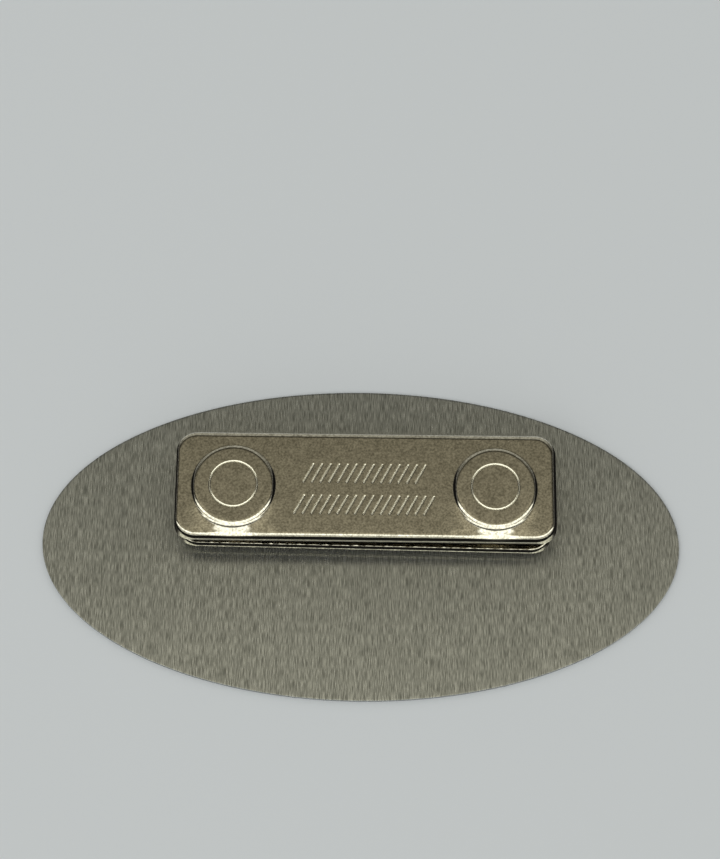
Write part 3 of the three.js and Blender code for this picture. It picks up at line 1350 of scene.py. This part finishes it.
    def end_panel(self, side: int, edge: np.ndarray, rows: np.ndarray,
                  radii: np.ndarray) -> tuple[np.ndarray, np.ndarray]:
        """The plan of one end: circles about the cup, then a loft from the last to the edge.

        Args:
            side: -1 for the left end and 1 for the right.
            edge: The panel's own outline, as end_outline runs.
            rows: Places across the cover where the middle panel meets this one.
            radii: The circles' radii.

        Returns:
            The cup's centre, and a closed grid of plan points.
        """
        cup = self.cups[0] if side < 0 else self.cups[1]
        split = self.splits[0] if side < 0 else self.splits[1]
        seam_y = rows[1:-1] if side < 0 else rows[1:-1][::-1]
        seam = np.stack([np.full(len(seam_y), split), seam_y], axis=-1)
        boundary = np.vstack([seam, edge])
        spoke = boundary - cup
        spoke /= np.linalg.norm(spoke, axis=1)[:, None]
        circles = cup + radii[:, None, None] * spoke
        shares = np.array(self.loft_shares)[:, None, None]
        return cup, np.concatenate([circles, circles[-1] + shares * (boundary - circles[-1])])

    def outside_radii(self) -> np.ndarray:
        """The circles of a cup's outside: close at the ring, the rounded edge and the foot."""
        inner = self.ring_diameter / 2 - self.groove_half_width
        outer = self.ring_diameter / 2 + self.groove_half_width
        start, end = self.side_section[0, 0], self.near_section[-1, 0]
        return np.concatenate([
            [self.cup_middle, inner - self.ring_margin], np.linspace(inner, outer, self.ring_count),
            [outer + self.ring_margin], start - np.array(self.before_side),
            np.linspace(start, end, int((end - start) / self.ring_step) + 1),
            end + np.array(self.past_foot)])

    def skin(self) -> Skin:
        """Gather the outside, the edge with the wall and the rim, and the inside."""
        skin = Skin()
        self.add_outside(skin)
        self.add_edge(skin)
        self.add_inside(skin)
        return skin

    def raised(self, plan: np.ndarray) -> np.ndarray:
        """Plan points from the cover's middle, put at the height of its outside."""
        return lifted(plan + self.middle, self.top + self.relief(plan[..., 0], plan[..., 1]))

    def add_outside(self, skin: Skin) -> None:
        """Add the top: the middle panel with its grip lines and the two ends with their cups."""
        inset = self.edge[-1, 0]
        near = self.near_edge * inset - self.half[1]
        far = self.half[1] - self.far_edge * inset
        rows = gathered(near, far, self.row_spans(), self.fine_step, self.coarse_step)
        rows = np.sort(np.append(rows, [near + self.border_step, far - self.border_step]))
        grid = np.stack(np.meshgrid(self.middle_columns(), rows), axis=-1)
        skin.add_grid(self.raised(grid), Facing.INWARD)
        for side in (-1, 1):
            outline = self.end_outline(side)
            edge = outline.at(self.corner_radius - inset * self.edge_radii(outline))
            cup, plan = self.end_panel(side, edge, rows, self.outside_radii())
            points = self.raised(plan)
            skin.add_grid(points, Facing.OUTWARD, closed=True)
            skin.add_pole(self.raised(cup[None, :])[0], points[0], Facing.OUTWARD)

    def add_edge(self, skin: Skin) -> None:
        """Add the rounded edge, the wall and the rim, as a section carried round the outline."""
        outline = self.whole_outline()
        run, radius = outline.travel, self.edge_radii(outline)
        reach, drop = self.edge[-1]
        rows = []
        for out, down in self.edge:
            plan = outline.at(self.corner_radius - radius * (reach - out))
            foot = self.relief(plan[:, 0], plan[:, 1]) * (1 - down / drop)
            rows.append(lifted(plan, self.top - radius * down + foot))
        wave = self.rim_marks.at(run) + self.rim_wave.at(run)
        wall_top, lip_top = self.top - radius * drop, self.rim + self.lip_rise
        for share in WALL_SHARES:
            level = wall_top + share * (lip_top - wall_top)
            rows.append(outline.row(self.corner_radius, level + share * wave))
        lip = self.corner_radius + self.rim_lip + self.corner_lip * outline.cornering
        for out, down in round_edge(self.rim_round, 0, 90, self.round_steps)[::-1]:
            rows.append(outline.row(lip - self.rim_round + out, self.rim + down + wave))
        inner, ceiling = self.corner_radius - self.sheet, self.top - self.sheet
        rows.append(outline.row(inner + self.rim_round, self.rim + wave))
        rows.append(outline.row(inner, self.rim + self.rim_round + wave))
        for out, down in round_edge(self.inside_round, 0, 90, self.round_steps)[::-1]:
            rows.append(outline.row(inner - self.inside_round + out, ceiling - down))
        grid = np.stack(rows)
        grid[..., :2] += self.middle
        skin.add_grid(grid, Facing.OUTWARD, closed=True)

    def add_inside(self, skin: Skin) -> None:
        """Add the underside of the top, with the hollows of the two cups."""
        inset = self.sheet + self.inside_round
        reach = self.half[1] - inset
        ceiling = self.top - self.sheet
        rows = np.linspace(-reach, reach, self.inside_rows)
        grid = np.stack(np.meshgrid(self.middle_columns(), rows), axis=-1)
        skin.add_grid(lifted(grid + self.middle, ceiling), Facing.OUTWARD)
        wall = self.hollow_diameter / 2
        inner = wall - self.inside_round
        roof = ceiling + self.cup_rise
        curve = round_edge(self.inside_round, 0, 90, self.round_steps)
        mouth = curve[::-1] / 2
        radii = np.concatenate([
            [self.hollow_middle, inner - self.border_step], inner + curve[:, 0], [wall, wall],
            wall + self.inside_round / 2 - mouth[:, 0], [wall + self.mouth_margin]])
        levels = np.concatenate([
            [roof, roof], roof - curve[:, 1],
            [roof - self.hollow_wall[0], ceiling + self.hollow_wall[1]],
            ceiling + mouth[:, 1], [ceiling]])
        heights = np.append(levels, np.full(len(self.loft_shares), ceiling))[:, None]
        for side in (-1, 1):
            edge = self.end_outline(side).at(self.corner_radius - inset)
            cup, plan = self.end_panel(side, edge, rows, radii)
            points = lifted(plan + self.middle, heights)
            skin.add_grid(points, Facing.INWARD, closed=True)
            skin.add_pole(np.array([*(cup + self.middle), roof]), points[0], Facing.INWARD)


@dataclass
class Camera:
    """The photograph's view: where the camera stands, how it is turned, and its lens."""

    elevation: float = 70.0
    azimuth: float = 0.105
    roll: float = 0.601
    distance: float = 266.872
    slide: tuple[float, float] = (-0.090, 13.764)
    focal_pixels: float = 2225.233
    picture_height: int = 859
    sensor: float = 36.0
    # How near and how far the camera sees, in metres
    nearest: float = 0.01
    furthest: float = 20.0

    def build(self) -> None:
        """Make the camera and set it as the scene's."""
        tilt, turn, roll = map(math.radians, (self.elevation, self.azimuth, self.roll))
        back = Vector((math.sin(turn) * math.cos(tilt), -math.cos(turn) * math.cos(tilt),
                       math.sin(tilt)))
        level = Vector((math.cos(turn), math.sin(turn), 0.0))
        upright = back.cross(level)
        right = math.cos(roll) * level + math.sin(roll) * upright
        up = -math.sin(roll) * level + math.cos(roll) * upright
        place = (back * self.distance + right * self.slide[0] + up * self.slide[1]) * MM
        data = bpy.data.cameras.new("camera")
        data.sensor_width = self.sensor
        data.lens = self.focal_pixels / self.picture_height * self.sensor
        data.clip_start, data.clip_end = self.nearest, self.furthest
        camera = bpy.data.objects.new("camera", data)
        axes = Matrix((right, up, back)).transposed().to_4x4()
        camera.matrix_world = Matrix.Translation(place) @ axes
        bpy.context.scene.collection.objects.link(camera)
        bpy.context.scene.camera = camera


@dataclass
class Room:
    """The plain table and the soft room round it, which the metal mirrors.

    The room is worked out from a direction's angle about the X axis: 0 overhead, positive toward
    the viewer and negative toward the back. It is bright toward the viewer, dim overhead, pale at
    the back and dark at the sides. Everything but the metal is lit evenly. Angles are in degrees.
    """

    table_half: float = 1.6
    warm: Colour = (1.0, 0.955, 0.76)
    cool: Colour = (0.98, 1.0, 0.93)
    bright: Colour = (2.05, 2.15, 2.1)
    low_front: Colour = (0.9, 0.93, 0.9)
    plain: Colour = (0.52, 0.54, 0.535)
    even: Colour = (0.55, 0.565, 0.56)
    # Dim part: angle and brightness
    dim: tuple[tuple[float, float], ...] = (
        (-90, 0.46), (-54, 0.46), (-45, 0.36), (-38, 0.05), (-27, 0.05), (-22, 0.19),
        (-17, 0.32), (-13, 0.48), (-8, 0.52), (10, 0.50), (90, 0.50))
    # Where the warm part turns cool, and where the sides turn dark and how dark
    cool_span: tuple[float, float] = (-36.0, -46.0)
    side_span: tuple[float, float] = (0.30, 0.92)
    side_shade: tuple[float, float] = (1.0, 0.12)
    # The bright front: where it begins, how its edge leans away from its middle, and where it fades
    front_span: tuple[float, float] = (20.0, 34.0)
    front_middle: float = 0.08
    front_lean: float = 12.0
    low_span: tuple[float, float] = (54.0, 80.0)
    lamp_power: float = 2.5
    lamp_size: float = 0.9
    lamp_place: tuple[float, float, float] = (-0.4, -0.5, 1.0)

    def build(self, material: Material) -> None:
        """Make the table in its finish, and the light round it."""
        reach = self.table_half
        mesh = bpy.data.meshes.new("table")
        corners = [(-reach, -reach, 0), (reach, -reach, 0), (reach, reach, 0), (-reach, reach, 0)]
        mesh.from_pydata(corners, [], [(0, 1, 2, 3)])
        table = bpy.data.objects.new("table", mesh)
        table.data.materials.append(material)
        bpy.context.scene.collection.objects.link(table)
        self.light()
        self.lamp()

    def lamp(self) -> None:
        """Hang a wide soft lamp over the table, which the metal doesn't mirror."""
        data = bpy.data.lights.new("lamp", "AREA")
        data.size = self.lamp_size
        data.energy = self.lamp_power
        lamp = bpy.data.objects.new("lamp", data)
        lamp.location = self.lamp_place
        lamp.rotation_euler = Vector(self.lamp_place).to_track_quat("Z", "Y").to_euler()
        lamp.visible_glossy = False
        bpy.context.scene.collection.objects.link(lamp)

    def light(self) -> None:
        """Fill the world with the soft room."""
        world = bpy.data.worlds.new("room")
        world.use_nodes = True
        world.node_tree.nodes.clear()
        world.cycles.sampling_method = "NONE"
        bpy.context.scene.world = world
        sketch = Sketch(world.node_tree)
        way = sketch.node("ShaderNodeTexCoord").outputs["Generated"]
        x, y, z = sketch.node("ShaderNodeSeparateXYZ", {0: way}).outputs
        toward = sketch.math("MULTIPLY", y, -1.0)
        angle = sketch.math("MULTIPLY", sketch.math("ARCTAN2", toward, z), 180 / math.pi)
        place = sketch.mapped(angle, (-90.0, 90.0), way="LINEAR")
        dim = sketch.ramp(place, [((stop + 90) / 180, (level,) * 3) for stop, level in self.dim])
        tint = sketch.mixed(sketch.mapped(angle, self.cool_span), self.warm, self.cool)
        shade = sketch.mapped(sketch.math("ABSOLUTE", x), self.side_span, self.side_shade)
        shaded = sketch.mixed(1.0, sketch.mixed(1.0, dim, tint, "MULTIPLY"), shade, "MULTIPLY")
        lean = sketch.math("ABSOLUTE", sketch.math("SUBTRACT", x, self.front_middle))
        swung = sketch.math("ADD", angle, sketch.math("MULTIPLY", lean, self.front_lean))
        window = sketch.mixed(sketch.mapped(angle, self.low_span), self.bright, self.low_front)
        mirrored = sketch.mixed(sketch.mapped(swung, self.front_span), shaded, window)
        path = sketch.node("ShaderNodeLightPath").outputs
        lit = sketch.mixed(path["Is Glossy Ray"], self.even, mirrored)
        shown = sketch.mixed(path["Is Camera Ray"], lit, self.plain)
        background = sketch.node("ShaderNodeBackground", {0: shown, 1: 1.0})
        sketch.node("ShaderNodeOutputWorld", {0: background.outputs[0]})


def main() -> None:
    """Build the room, the camera and the badge."""
    logging.basicConfig(level=logging.INFO, format="%(message)s")
    bpy.context.scene.view_settings.view_transform = "Standard"
    effects = Effects()
    Room().build(PaleTable().make())
    Camera().build()
    steel = BrushedSteel().make(effects)
    cover_nickel = SatinNickel().make(effects)
    inner_nickel = SatinNickel(name="bright_nickel", smooth=0.09, rough=0.17).make(effects)
    magnet_nickel = SatinNickel(
        name="magnet_nickel", light=(0.74, 0.73, 0.70), dark=(0.64, 0.63, 0.60), smooth=0.08,
        rough=0.14).make(effects)
    foam = ClosedCellFoam().make(effects)
    BadgePlate().build(steel)
    FoamPad().build(foam)
    InnerBar().build(inner_nickel)
    MagnetCover().build(cover_nickel)
    for side in ("left", "right"):
        Magnet(f"magnet_{side}", f"disc_{side}").build(magnet_nickel)


if __name__ == "__main__":
    main()
